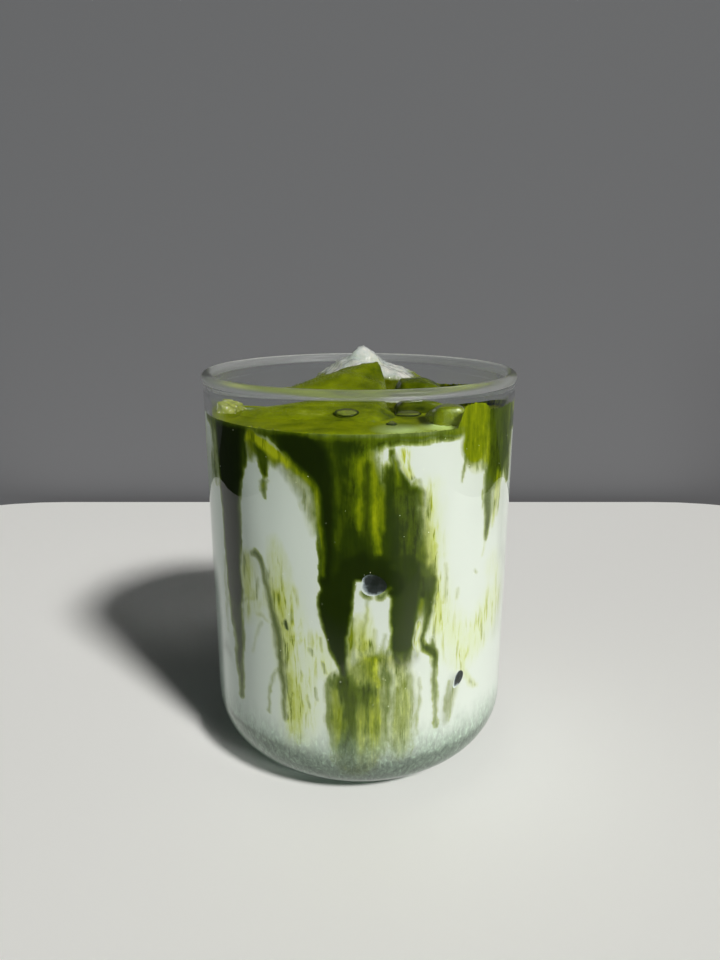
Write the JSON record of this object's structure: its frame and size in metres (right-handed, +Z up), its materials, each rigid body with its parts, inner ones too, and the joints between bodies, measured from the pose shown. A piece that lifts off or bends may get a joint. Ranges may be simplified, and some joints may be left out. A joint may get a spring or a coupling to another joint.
{
  "type": "iced matcha latte",
  "caption": "Iced matcha latte in a straight clear glass tumbler with a rounded base: milk streaked by runs of green matcha, a matcha layer on top and ice standing out of it.",
  "frame": {"origin": "centre of the tumbler's base, on the surface it stands on", "axes": "+Z up along the tumbler's axis; -Y is the front, the side the picture shows; +X is to the right seen from the front"},
  "size_m": [0.0806, 0.0806, 0.1065],
  "materials": {
    "glass": "clear thin glass, polished",
    "milk": "opaque white milk, tinted green where matcha has mixed in",
    "matcha": "dark green tea, yellow-green where it is thin",
    "clear_ice": "wet ice, frosty inside",
    "matcha_ice": "wet ice coated with matcha"
  },
  "bodies": {
    "root": {"glass": "glass", "milk": "milk", "matcha": "matcha", "ice_back": "clear_ice", "ice_front": "matcha_ice", "ice_middle": "matcha_ice", "ice_left": "matcha_ice", "ice_right": "matcha_ice"}
  },
  "joints": []
}
